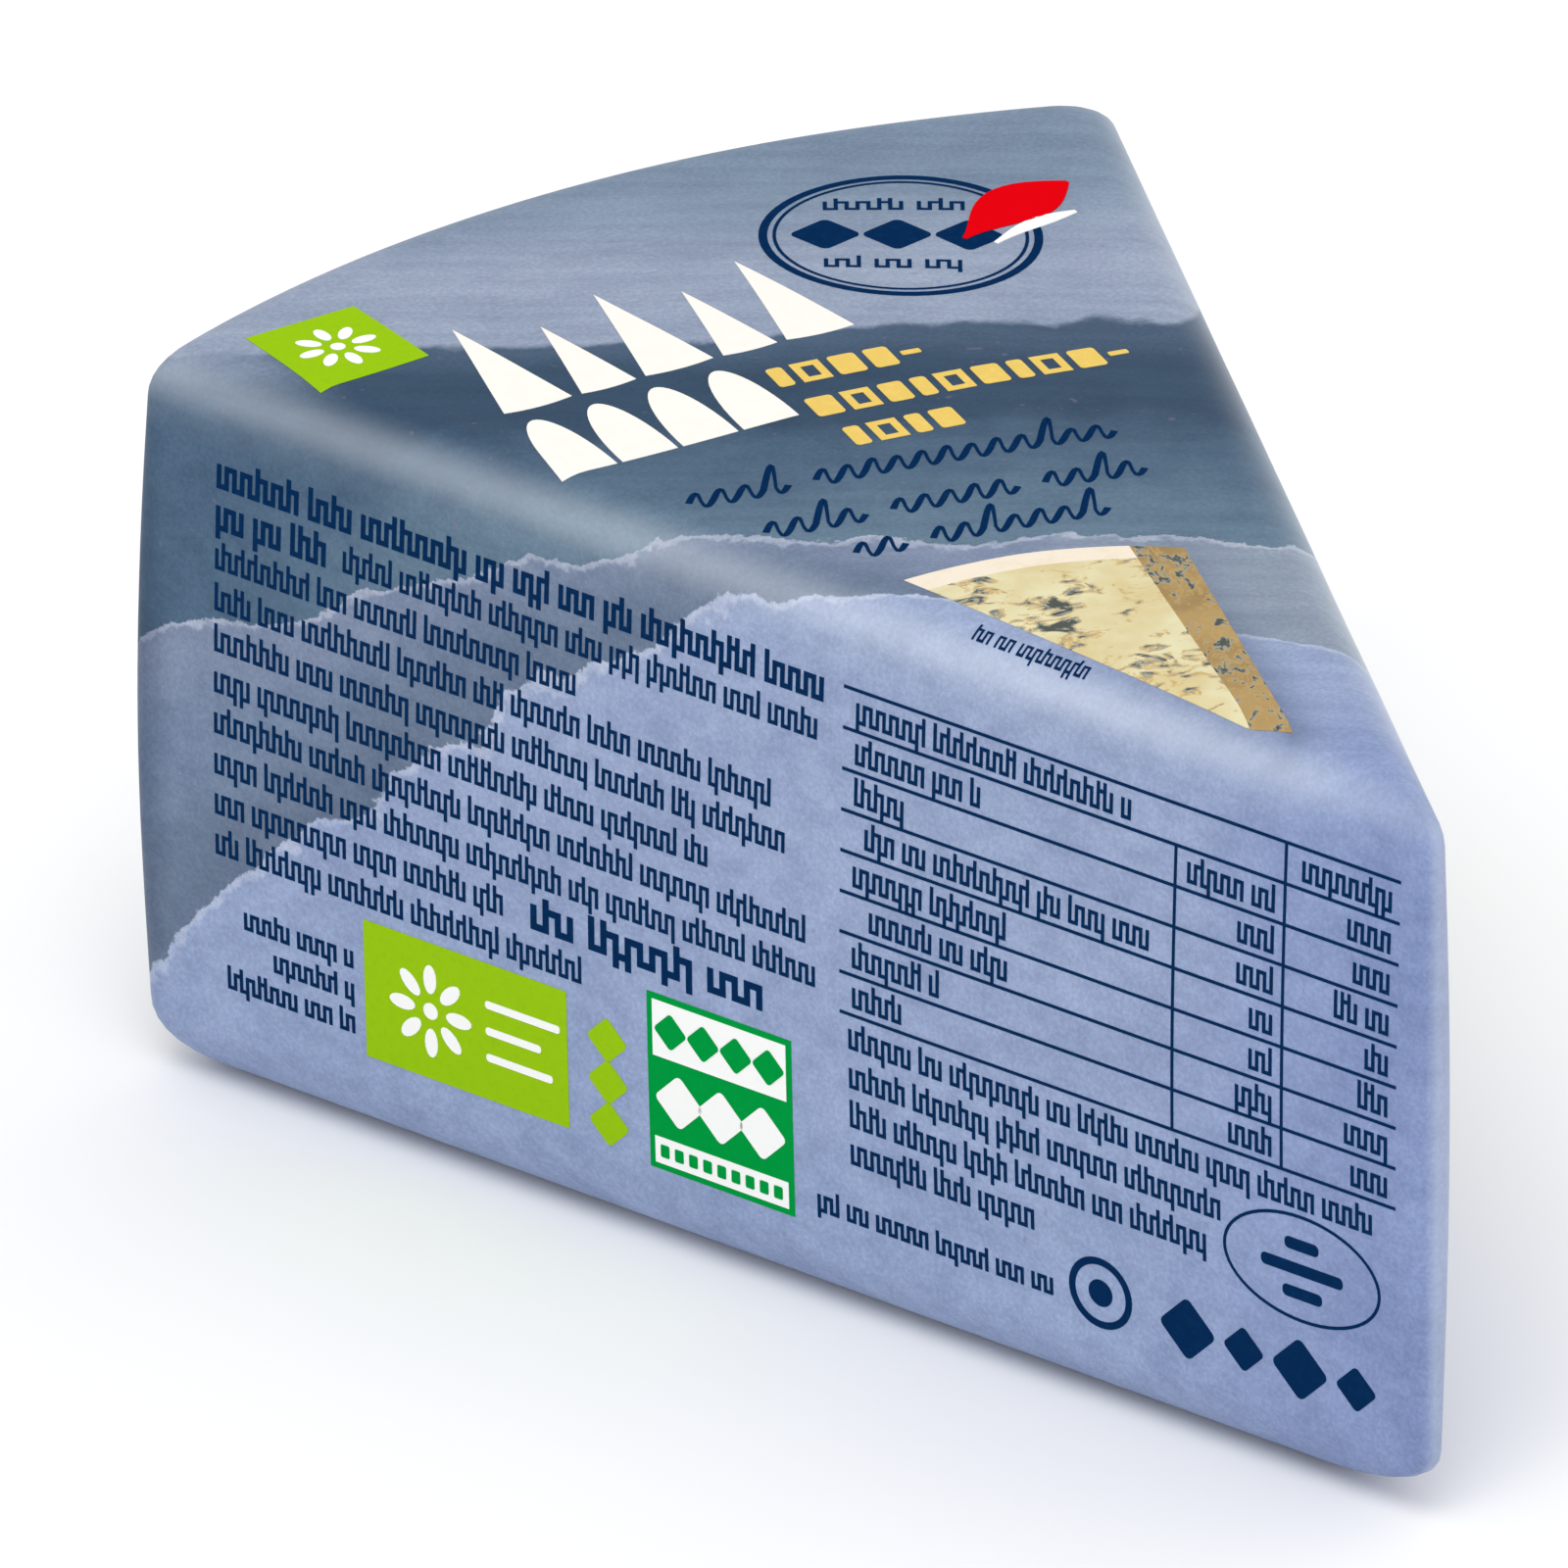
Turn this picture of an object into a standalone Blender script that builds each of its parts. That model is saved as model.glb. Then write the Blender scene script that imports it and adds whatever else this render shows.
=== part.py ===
"""A wedge of blue cheese, shut in its printed paper wrapper: one closed body with soft edges.

Units are metres, +Z is up. The wedge lies flat, its point at -Y and its round back, the rind side, at +Y.
The origin is at the middle of its bounding box, on the face it rests on.
"""

import math

import bmesh
import bpy

# Driving dimensions of the wrapped wedge
LENGTH = 0.0955  # from where the two cut sides would meet to the middle of the round back
HEIGHT = 0.0465  # from the rest face to the top of the crowned top face
WEDGE_ANGLE = math.radians(40.4)  # between the two cut sides
BACK_RADIUS = 0.0785  # of the round back, seen from above

# How softly the wrapper turns round each edge
POINT_RADIUS = 0.0008  # the upright edge where the cut sides meet
BACK_CORNER_RADIUS = 0.0015  # the two upright edges beside the round back
TOP_EDGE_RADIUS = 0.0033
BOTTOM_EDGE_RADIUS = 0.0047
CORNER_SOFTENING = 0.4  # how much an upright edge widens for each metre of inset at the top and the bottom

# How far the cheese pushes the wrapper out of flat
WALL_BULGE = 0.0005
TOP_CROWN = 0.0006

# Points along each stretch of the outline, and levels up each stretch of the profile
POINT_STEPS = 6
SIDE_STEPS = 16
CORNER_STEPS = 6
BACK_STEPS = 20
EDGE_STEPS = 6
WALL_STEPS = 6
FACE_STEPS = 4

HALF_ANGLE = WEDGE_ANGLE / 2
INSCRIBED_RADIUS = LENGTH * math.sin(HALF_ANGLE) / (1 + math.sin(HALF_ANGLE))
FACE_INSET = 0.85 * INSCRIBED_RADIUS  # of the innermost ring on the top and rest faces
ROUNDEST_CORNER = 0.9  # the most of the room left inside a ring that one of its corners may take up
WRAP_BLUE = (0.29, 0.35, 0.53, 1.0)


def arc(centre, radius, start, end, steps):
    """Points on an arc seen from above, its last point left to the stretch that follows."""
    angles = [start + (end - start) * i / steps for i in range(steps)]
    return [(centre[0] + radius * math.cos(a), centre[1] + radius * math.sin(a)) for a in angles]


def straight(start, end, steps):
    """Points on a straight run, its last point left to the stretch that follows."""
    shares = [i / steps for i in range(steps)]
    return [tuple(s + (e - s) * share for s, e in zip(start, end)) for share in shares]


def corner_radius(sharpest, inset):
    """The radius of an upright edge at a ring this far inside the outline."""
    softened = sharpest + CORNER_SOFTENING * max(inset, 0)
    return min(softened, ROUNDEST_CORNER * (INSCRIBED_RADIUS - inset))


def point_radius(inset):
    """The radius of the point at a ring. Where the walls bulge it widens, which keeps the point's edge upright."""
    if inset < 0:
        return POINT_RADIUS - inset / (1 - math.sin(HALF_ANGLE))
    return corner_radius(POINT_RADIUS, inset)


def back_corner(inset, radius):
    """Centre of the right back corner's arc, and the angle at which it meets the round back."""
    out_x, out_y = math.cos(HALF_ANGLE), -math.sin(HALF_ANGLE)
    along_x, along_y = math.sin(HALF_ANGLE), math.cos(HALF_ANGLE)
    back_centre = LENGTH - BACK_RADIUS
    from_x = -(inset + radius) * out_x
    from_y = -(inset + radius) * out_y - back_centre
    reach = BACK_RADIUS - inset - radius
    half_b = from_x * along_x + from_y * along_y
    run = -half_b + math.sqrt(half_b**2 - from_x**2 - from_y**2 + reach**2)
    x = from_x + run * along_x
    y = from_y + run * along_y
    return (x, y + back_centre), math.atan2(y, x)


def outline(inset):
    """The wedge seen from above, anticlockwise from the left end of its point, inset evenly from the sharp wedge."""
    point = point_radius(inset)
    corner = corner_radius(BACK_CORNER_RADIUS, inset)
    point_centre = (0, (inset + point) / math.sin(HALF_ANGLE))
    right_centre, meets_back = back_corner(inset, corner)
    left_centre = (-right_centre[0], right_centre[1])
    back_centre = (0, LENGTH - BACK_RADIUS)

    right_out = -HALF_ANGLE
    left_out = math.pi + HALF_ANGLE
    point_arc = arc(point_centre, point, left_out - 2 * math.pi, right_out, POINT_STEPS)
    right_arc = arc(right_centre, corner, right_out, meets_back, CORNER_STEPS)
    back_arc = arc(back_centre, BACK_RADIUS - inset, meets_back, math.pi - meets_back, BACK_STEPS)
    left_arc = arc(left_centre, corner, math.pi - meets_back, left_out, CORNER_STEPS)

    point_end = (-point_arc[0][0], point_arc[0][1])
    left_end = (-right_arc[0][0], right_arc[0][1])
    right_side = straight(point_end, right_arc[0], SIDE_STEPS)
    left_side = straight(left_end, point_arc[0], SIDE_STEPS)
    return point_arc + right_side + right_arc + back_arc + left_arc + left_side


def profile():
    """(inset, height) of each ring, from the middle of the rest face, up the walls, to the middle of the top face."""
    levels = []
    for i in range(FACE_STEPS):
        share = i / FACE_STEPS
        levels.append((FACE_INSET + (BOTTOM_EDGE_RADIUS - FACE_INSET) * share, 0))
    for i in range(EDGE_STEPS):
        turn = math.pi / 2 * i / EDGE_STEPS
        levels.append((BOTTOM_EDGE_RADIUS * (1 - math.sin(turn)), BOTTOM_EDGE_RADIUS * (1 - math.cos(turn))))

    wall_top = HEIGHT - TOP_CROWN - TOP_EDGE_RADIUS
    for i in range(WALL_STEPS):
        share = i / WALL_STEPS
        height = BOTTOM_EDGE_RADIUS + (wall_top - BOTTOM_EDGE_RADIUS) * share
        levels.append((-WALL_BULGE * math.sin(math.pi * share), height))

    for i in range(EDGE_STEPS):
        turn = math.pi / 2 * i / EDGE_STEPS
        levels.append((TOP_EDGE_RADIUS * (1 - math.cos(turn)), wall_top + TOP_EDGE_RADIUS * math.sin(turn)))
    for i in range(FACE_STEPS + 1):
        share = i / FACE_STEPS
        rise = TOP_CROWN * share**2 * (3 - 2 * share)
        levels.append((TOP_EDGE_RADIUS + (FACE_INSET - TOP_EDGE_RADIUS) * share, HEIGHT - TOP_CROWN + rise))
    return levels


def add_ring(mesh, inset, height):
    """One closed loop of edges round the wedge at this inset and height."""
    places = outline(inset)
    circle = bmesh.ops.create_circle(mesh, cap_ends=False, segments=len(places), radius=LENGTH)["verts"]
    for corner, (x, y) in zip(circle, places):
        corner.co = (x, y, height)
    return list({edge for corner in circle for edge in corner.link_edges})


def close_end(mesh, ring):
    """Fills the innermost ring with a flat face and fans it out from its middle."""
    made = bmesh.ops.edgeloop_fill(mesh, edges=ring)["faces"]
    bmesh.ops.poke(mesh, faces=made)


def centre_on_origin(mesh):
    """Moves the wedge so that its bounding box is centred on the origin in Y, as it already is in X."""
    lengths = [corner.co.y for corner in mesh.verts]
    bmesh.ops.translate(mesh, verts=mesh.verts, vec=(0, -(min(lengths) + max(lengths)) / 2, 0))


def printed_paper():
    material = bpy.data.materials.new("printed_wrap")
    material.use_nodes = True
    shader = material.node_tree.nodes["Principled BSDF"]
    shader.inputs["Base Color"].default_value = WRAP_BLUE
    shader.inputs["Roughness"].default_value = 0.45
    shader.inputs["Metallic"].default_value = 0.0
    return material


def cheese_pack():
    """The shut pack, built up ring by ring from the middle of its rest face to the middle of its top."""
    mesh = bmesh.new()
    rings = [add_ring(mesh, inset, height) for inset, height in profile()]
    for lower, upper in zip(rings, rings[1:]):
        bmesh.ops.bridge_loops(mesh, edges=lower + upper)
    close_end(mesh, rings[0])
    close_end(mesh, rings[-1])
    centre_on_origin(mesh)
    bmesh.ops.recalc_face_normals(mesh, faces=mesh.faces)

    data = bpy.data.meshes.new("cheese_pack")
    mesh.to_mesh(data)
    mesh.free()
    data.shade_smooth()
    data.materials.append(printed_paper())
    pack = bpy.data.objects.new("cheese_pack", data)
    bpy.context.scene.collection.objects.link(pack)
    return pack


def main():
    for old in list(bpy.data.objects):
        bpy.data.objects.remove(old)
    cheese_pack()


main()
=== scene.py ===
"""The looks of a shut pack of blue cheese: a wedge in a satin printed paper wrapper.

The wrapper is one soft-edged shell, and its washes of blue are in its material. Everything else printed on
it is a film of ink laid onto that shell: rows of filler strokes, plain shapes, and a picture of a slice.
Print is laid out in millimetres on each face of the pack. Everything else is in metres.
"""

import math
import random

import bmesh
import bpy
from mathutils import Matrix, Vector, noise
from mathutils.bvhtree import BVHTree


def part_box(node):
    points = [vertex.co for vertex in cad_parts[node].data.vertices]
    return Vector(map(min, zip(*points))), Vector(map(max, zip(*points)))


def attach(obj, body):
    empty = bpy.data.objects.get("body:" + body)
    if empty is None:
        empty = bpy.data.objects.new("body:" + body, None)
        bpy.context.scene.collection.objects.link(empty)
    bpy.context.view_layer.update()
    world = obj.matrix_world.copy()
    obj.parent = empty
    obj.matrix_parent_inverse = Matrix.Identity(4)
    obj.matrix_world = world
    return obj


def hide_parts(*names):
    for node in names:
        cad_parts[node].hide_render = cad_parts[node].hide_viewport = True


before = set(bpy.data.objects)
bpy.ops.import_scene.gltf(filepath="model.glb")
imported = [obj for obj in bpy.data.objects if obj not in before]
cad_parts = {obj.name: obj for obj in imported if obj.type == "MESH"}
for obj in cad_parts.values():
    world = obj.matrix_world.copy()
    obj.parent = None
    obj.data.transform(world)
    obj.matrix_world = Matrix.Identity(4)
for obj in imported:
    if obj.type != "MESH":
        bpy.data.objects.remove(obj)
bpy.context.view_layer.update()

MM = 0.001
BODY = "root"

# The wedge, as the solid has it
low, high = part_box("cheese_pack")
HEIGHT = high.z - low.z
HALF_ANGLE = math.radians(40.4) / 2
BACK_RADIUS = 0.0785
POINT_RADIUS = 0.0008
BACK_CORNER_RADIUS = 0.0015
TOP_EDGE_RADIUS = 0.0033
BOTTOM_EDGE_RADIUS = 0.0047
CORNER_SOFTENING = 0.4
WALL_BULGE = 0.0005
TOP_CROWN = 0.0006
ROUNDEST_CORNER = 0.9
POINT_SETBACK = POINT_RADIUS * (1 / math.sin(HALF_ANGLE) - 1)
LENGTH = high.y - low.y - WALL_BULGE + POINT_SETBACK
TIP_Y = low.y - POINT_SETBACK
INSCRIBED_RADIUS = LENGTH * math.sin(HALF_ANGLE) / (1 + math.sin(HALF_ANGLE))
FACE_INSET = 0.93 * INSCRIBED_RADIUS

# The wrapper's own fine shape
PAPER = 0.00006
FOLDED_LAYERS = 3
UNDERSIDE = PAPER * FOLDED_LAYERS
UNEVENNESS = 0.00007
UNEVEN_SPAN = 0.014
POINT_STEPS = 10
SIDE_STEPS = 64
CORNER_STEPS = 8
BACK_STEPS = 44
EDGE_STEPS = 10
WALL_STEPS = 24
FACE_STEPS = 22

# Painted highlight along the left and the right fold: where, in degrees up from the cut side's own facing,
# how far either way, and how much
LEFT_FOLD_HIGHLIGHT = (31.0, 25.0, 0.95)
RIGHT_FOLD_HIGHLIGHT = (14.0, 36.0, 1.6)

# How much stronger the painted highlight is towards the point, and how much weaker on the last stretch
# before it: how much, from where, and to where
MORE_FOLD_HIGHLIGHT = (0.4, 0.0, -0.028)
LESS_FOLD_HIGHLIGHT = (0.8, -0.036, -0.044)

# How strong the painted highlight on the fold at the point is, from how far away to how near, and from
# its left to its right
TIP_HIGHLIGHT = 1.1
TIP_HIGHLIGHT_REACH = (0.0036, 0.0022)
TIP_HIGHLIGHT_ACROSS = (-0.00075, 0.0001)

# How far a film of ink stands proud of the paper, and how deep it is set in, to leave no gap
INK_LIFT = 0.00003
INK_SINK = 0.00003

# Ink is laid in cells this many millimetres wide: on flat faces, and over the folds
LIE_PITCH = 1.5
FOLD_PITCH = 0.5

# The photograph's view
CAMERA_AZIMUTH = math.radians(-31.487)
CAMERA_ELEVATION = math.radians(26.71)
CAMERA_DISTANCE = 3.333
AIM_RIGHT = -0.011853
AIM_UP = 0.023718
PHOTO_SCALE = 17989.3
PHOTO_SIDE = 1600
SENSOR = 36.0

# Colours of the wrapper's fields, from the back to the point
MIST_EDGE = "#8B96AA"
MIST = "#6F8195"
RIDGE_LIP = "#3C5269"
RIDGE_DARK = "#264058"
RIDGE_MID = "#425A70"
RIDGE_PALE = "#5A7184"
# Painted shade: the dark field darkens towards the left edge
RIDGE_PAINTED_SHADE = "#455D74"
HAZE = "#77839B"
HAZE_MID = "#6C7C95"
HAZE_LOW = "#617086"
HAZE_RIGHT = "#828E9E"
DUSK = "#8E9BB9"
DUSK_LOW = "#8D9CBD"
DUSK_TIP = "#7E8DB4"
TORN_FIBRE = "#CDD1DD"
# A highlight painted along the folds, and how much of it is mixed into the paper's colour
PAINTED_FOLD_HIGHLIGHT = "#E6EDF5"
FOLD_HIGHLIGHT_SHARE = 0.22
PICTURE_SHADOW = "#4F5D78"

# Edges of the fields. Each is a slanted plane: which way it faces, how many millimetres it lies from the
# origin, and how far it swells, is notched and is frayed
RIDGE_EDGE = ((0.173, 0.346, 0.922), 49.7, 0.5, 0.2, 0.1)
TEAR_EDGE = ((0.29, 0.501, 0.816), 32.64, 1.0, 0.45, 0.3)
LOW_TEAR_EDGE = ((0.685, 0.6, 0.413), 5.05, 1.1, 0.4, 0.24)
FAR_CORNER_WAY = (-0.3, 0, 0.95)

# Colours of the inks
NAVY = "#07274D"
CREAM = "#EAE7E1"
GOLD = "#DCBC62"
LIME = "#8FBA15"
DEEP_GREEN = "#028E3B"
WHITE = "#EDEEEC"
RED = "#D5040F"
VEIN_RIM = "#B8934E"
VEIN = "#8C9188"
VEIN_DEEP = "#454A44"


def arc(centre, radius, start, end, steps):
    """Points on an arc seen from above, its last point left to the stretch that follows."""
    angles = [start + (end - start) * i / steps for i in range(steps)]
    return [(centre[0] + radius * math.cos(a), centre[1] + radius * math.sin(a)) for a in angles]


def straight(start, end, steps):
    """Points on a straight run, its last point left to the stretch that follows."""
    shares = [i / steps for i in range(steps)]
    return [tuple(s + (e - s) * share for s, e in zip(start, end)) for share in shares]


def corner_radius(sharpest, inset):
    softened = sharpest + CORNER_SOFTENING * max(inset, 0)
    return min(softened, ROUNDEST_CORNER * (INSCRIBED_RADIUS - inset))


def point_radius(inset):
    """The radius of the point at a ring. It widens with the bulge, which keeps the point's edge upright."""
    if inset < 0:
        return POINT_RADIUS - inset / (1 - math.sin(HALF_ANGLE))
    return corner_radius(POINT_RADIUS, inset)


def back_corner(inset, radius):
    """Centre of the right back corner's arc, and the angle at which it meets the round back."""
    out_x, out_y = math.cos(HALF_ANGLE), -math.sin(HALF_ANGLE)
    along_x, along_y = math.sin(HALF_ANGLE), math.cos(HALF_ANGLE)
    back_centre = LENGTH - BACK_RADIUS
    from_x = -(inset + radius) * out_x
    from_y = -(inset + radius) * out_y - back_centre
    reach = BACK_RADIUS - inset - radius
    half_b = from_x * along_x + from_y * along_y
    run = -half_b + math.sqrt(half_b**2 - from_x**2 - from_y**2 + reach**2)
    x = from_x + run * along_x
    y = from_y + run * along_y
    return (x, y + back_centre), math.atan2(y, x)


def outline(inset):
    """The wedge from above, anticlockwise from the left end of its point, which is at the origin."""
    point = point_radius(inset)
    corner = corner_radius(BACK_CORNER_RADIUS, inset)
    point_centre = (0, (inset + point) / math.sin(HALF_ANGLE))
    right_centre, meets_back = back_corner(inset, corner)
    left_centre = (-right_centre[0], right_centre[1])
    back_centre = (0, LENGTH - BACK_RADIUS)

    right_out = -HALF_ANGLE
    left_out = math.pi + HALF_ANGLE
    point_arc = arc(point_centre, point, left_out - 2 * math.pi, right_out, POINT_STEPS)
    right_arc = arc(right_centre, corner, right_out, meets_back, CORNER_STEPS)
    back_arc = arc(back_centre, BACK_RADIUS - inset, meets_back, math.pi - meets_back, BACK_STEPS)
    left_arc = arc(left_centre, corner, math.pi - meets_back, left_out, CORNER_STEPS)

    point_end = (-point_arc[0][0], point_arc[0][1])
    left_end = (-right_arc[0][0], right_arc[0][1])
    right_side = straight(point_end, right_arc[0], SIDE_STEPS)
    left_side = straight(left_end, point_arc[0], SIDE_STEPS)
    return point_arc + right_side + right_arc + back_arc + left_arc + left_side


def profile():
    """(inset, height) of each ring, from the middle of the underside to the middle of the top."""
    levels = []
    for i in range(FACE_STEPS):
        share = i / FACE_STEPS
        levels.append((FACE_INSET + (BOTTOM_EDGE_RADIUS - FACE_INSET) * share, UNDERSIDE))
    for i in range(EDGE_STEPS):
        turn = math.pi / 2 * i / EDGE_STEPS
        rise = BOTTOM_EDGE_RADIUS * (1 - math.cos(turn))
        levels.append((BOTTOM_EDGE_RADIUS * (1 - math.sin(turn)), max(rise, UNDERSIDE)))

    wall_top = HEIGHT - TOP_CROWN - TOP_EDGE_RADIUS
    for i in range(WALL_STEPS):
        share = i / WALL_STEPS
        height = BOTTOM_EDGE_RADIUS + (wall_top - BOTTOM_EDGE_RADIUS) * share
        levels.append((-WALL_BULGE * math.sin(math.pi * share), height))

    for i in range(EDGE_STEPS):
        turn = math.pi / 2 * i / EDGE_STEPS
        height = wall_top + TOP_EDGE_RADIUS * math.sin(turn)
        levels.append((TOP_EDGE_RADIUS * (1 - math.cos(turn)), height))
    for i in range(FACE_STEPS + 1):
        share = i / FACE_STEPS
        height = HEIGHT - TOP_CROWN + TOP_CROWN * share**2 * (3 - 2 * share)
        levels.append((TOP_EDGE_RADIUS + (FACE_INSET - TOP_EDGE_RADIUS) * share, height))
    return levels


def add_ring(mesh, inset, height):
    """One closed loop of edges round the wedge at this inset and height."""
    places = outline(inset)
    made = bmesh.ops.create_circle(mesh, cap_ends=False, segments=len(places), radius=LENGTH)
    for corner, (x, y) in zip(made["verts"], places):
        corner.co = (x, y + TIP_Y, height)
    return edges_of(made["verts"])


def edges_of(corners):
    """The edges that meet at some corners, each once and always in the same order."""
    return list(dict.fromkeys(edge for corner in corners for edge in corner.link_edges))


def press_unevenly(mesh):
    """Sinks the paper a few hundredths of a millimetre here and there, as a wrapper lies on cheese."""
    mesh.normal_update()
    sunk = []
    for corner in mesh.verts:
        lift = min(1, max(0, corner.co.z - UNDERSIDE) / BOTTOM_EDGE_RADIUS)
        wave = 0.5 + 0.5 * noise.noise(corner.co / UNEVEN_SPAN)
        sunk.append(corner.co - corner.normal * UNEVENNESS * wave * lift)
    for corner, spot in zip(mesh.verts, sunk):
        corner.co = spot


def eased(value, start, end):
    """0 where the value is at start, 1 where it is at end, and smooth between."""
    share = max(0.0, min(1.0, (value - start) / (end - start)))
    return share * share * (3 - 2 * share)


def fold_highlight(spot):
    """How strong the painted highlight on the folds beside the top is at a spot: most low on their turn."""
    from_side = (spot.y - TIP_Y) * math.sin(HALF_ANGLE) - abs(spot.x) * math.cos(HALF_ANGLE)
    climb = spot.z - (HEIGHT - TOP_CROWN - TOP_EDGE_RADIUS)
    turn = math.degrees(math.atan2(climb, TOP_EDGE_RADIUS - from_side))
    middle, spread, depth = LEFT_FOLD_HIGHLIGHT if spot.x < 0 else RIGHT_FOLD_HIGHLIGHT
    more, less = (share * eased(spot.y, start, end) for share, start, end in (MORE_FOLD_HIGHLIGHT, LESS_FOLD_HIGHLIGHT))
    return depth * (1 + more - less) * math.exp(-((turn - middle) / spread)**2)


def tip_highlight(spot):
    """How strong the painted highlight on the upright fold at the point is: most on its right half."""
    near = eased(math.hypot(spot.x, spot.y - TIP_Y), *TIP_HIGHLIGHT_REACH)
    return TIP_HIGHLIGHT * near * eased(spot.x, *TIP_HIGHLIGHT_ACROSS)


def wrapper_shell():
    """The wrapper: a sheet rolled into a tube from the underside to the top, and closed at its ends."""
    levels = profile()
    rings = [outline(inset) for inset, height in levels]
    around, up = len(rings[0]), len(levels) - 1
    mesh = bmesh.new()
    # Each corner keeps how strong the highlight painted on the folds is there
    painted_highlight = mesh.verts.layers.float.new("painted_highlight")
    sheet = bmesh.ops.create_grid(mesh, x_segments=around, y_segments=up, size=1)["verts"]
    for corner in sheet:
        step = round((corner.co.x + 1) / 2 * around) % around
        level = round((corner.co.y + 1) / 2 * up)
        x, y = rings[level][step]
        corner.co = (x, y + TIP_Y, levels[level][1])
        corner[painted_highlight] = max(fold_highlight(corner.co), tip_highlight(corner.co))
    bmesh.ops.remove_doubles(mesh, verts=mesh.verts, dist=1e-7)
    rims = [edge for edge in mesh.edges if edge.is_boundary]
    ends = bmesh.ops.edgeloop_fill(mesh, edges=rims)["faces"]
    bmesh.ops.poke(mesh, faces=ends)
    bmesh.ops.recalc_face_normals(mesh, faces=mesh.faces)
    press_unevenly(mesh)
    return mesh


def linear(hex_colour):
    """An sRGB hex colour as linear red, green, blue and alpha."""
    shares = [int(hex_colour[i:i + 2], 16) / 255 for i in (1, 3, 5)]
    return tuple(c / 12.92 if c <= 0.04045 else ((c + 0.055) / 1.055)**2.4 for c in shares) + (1.0,)


def add(tree, kind, links=None, **settings):
    """Adds a node, sets it up, and gives each named socket a link, a value, or a colour in hex."""
    made = tree.nodes.new(kind)
    for name, value in settings.items():
        setattr(made, name, value)
    for socket, source in (links or {}).items():
        if isinstance(source, bpy.types.NodeSocket):
            tree.links.new(source, made.inputs[socket])
        else:
            made.inputs[socket].default_value = linear(source) if isinstance(source, str) else source
    return made


# Where a Mix node keeps its colours: sockets of one name are told apart by number
COLOUR_A = 6
COLOUR_B = 7
COLOUR_OUT = 2

# The paper's tooth. Its grain is 0.28 mm wide, which is coarser than real, so that it shows
TOOTH = {"Scale": 1 / 0.28, "Detail": 3.0, "Roughness": 0.7}
TOOTH_DEPTH = 0.02 * MM


def new_material(name):
    """A material, with its shader, and with places on the pack in millimetres."""
    material = bpy.data.materials.new(name)
    material.use_nodes = True
    tree = material.node_tree
    shader = tree.nodes["Principled BSDF"]
    place = add(tree, "ShaderNodeTexCoord").outputs["Object"]
    spot = add(tree, "ShaderNodeMapping", {"Vector": place, "Scale": (1 / MM,) * 3}).outputs["Vector"]
    return material, tree, shader, spot


def wash(tree, value, start, end, tint, colour, depth=1.0, blend="MIX"):
    """Washes a tint over a colour, softly and up to a depth, as a value goes from start to end."""
    share = add(tree, "ShaderNodeMapRange", {
        "Value": value,
        "From Min": start,
        "From Max": end,
        "To Max": depth,
    }, interpolation_type="SMOOTHSTEP").outputs["Result"]
    colours = {0: share, COLOUR_A: colour, COLOUR_B: tint}
    return add(tree, "ShaderNodeMix", colours, data_type="RGBA", blend_type=blend).outputs[COLOUR_OUT]


def swung(tree, height, cloud, reach):
    """A height that swings this many millimetres either way, as a cloudy noise does."""
    swing = add(tree, "ShaderNodeMapRange", {
        "Value": cloud,
        "From Min": 0.25,
        "From Max": 0.75,
        "To Min": -reach,
        "To Max": reach,
    }).outputs["Result"]
    return add(tree, "ShaderNodeMath", {0: height, 1: swing}).outputs["Value"]


def height_over(tree, spot, way, level, swell, notch, fray):
    """How many millimetres a spot lies over a field's edge: a slanted plane that swells slowly,
    is torn in notches of a few millimetres, and is frayed finely."""
    plane = add(tree, "ShaderNodeVectorMath", {0: spot, 1: way}, operation="DOT_PRODUCT")
    height = plane.outputs["Value"]
    for size_mm, detail, reach in ((17.0, 1.0, swell), (4.6, 1.5, notch), (1.1, 6.0, fray)):
        cloud = add(tree, "ShaderNodeTexNoise", {
            "Vector": spot,
            "Scale": 1 / size_mm,
            "Detail": detail,
            "Roughness": 0.7,
        })
        height = swung(tree, height, cloud.outputs["Fac"], reach)
    return add(tree, "ShaderNodeMath", {0: height, 1: level}, operation="SUBTRACT").outputs["Value"]


def satin(tree, shader, patches, roughness, specular, tooth=None, relief=0.0):
    """Gives a surface its sheen, which drifts over its patches, and the paper's tooth in relief."""
    smoothest, roughest = roughness
    gloss = add(tree, "ShaderNodeMapRange", {"Value": patches, "To Min": smoothest, "To Max": roughest})
    tree.links.new(gloss.outputs["Result"], shader.inputs["Roughness"])
    shader.inputs["Specular IOR Level"].default_value = specular
    if tooth is not None:
        bump = add(tree, "ShaderNodeBump", {"Height": tooth, "Strength": relief, "Distance": TOOTH_DEPTH})
        tree.links.new(bump.outputs["Normal"], shader.inputs["Normal"])


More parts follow.
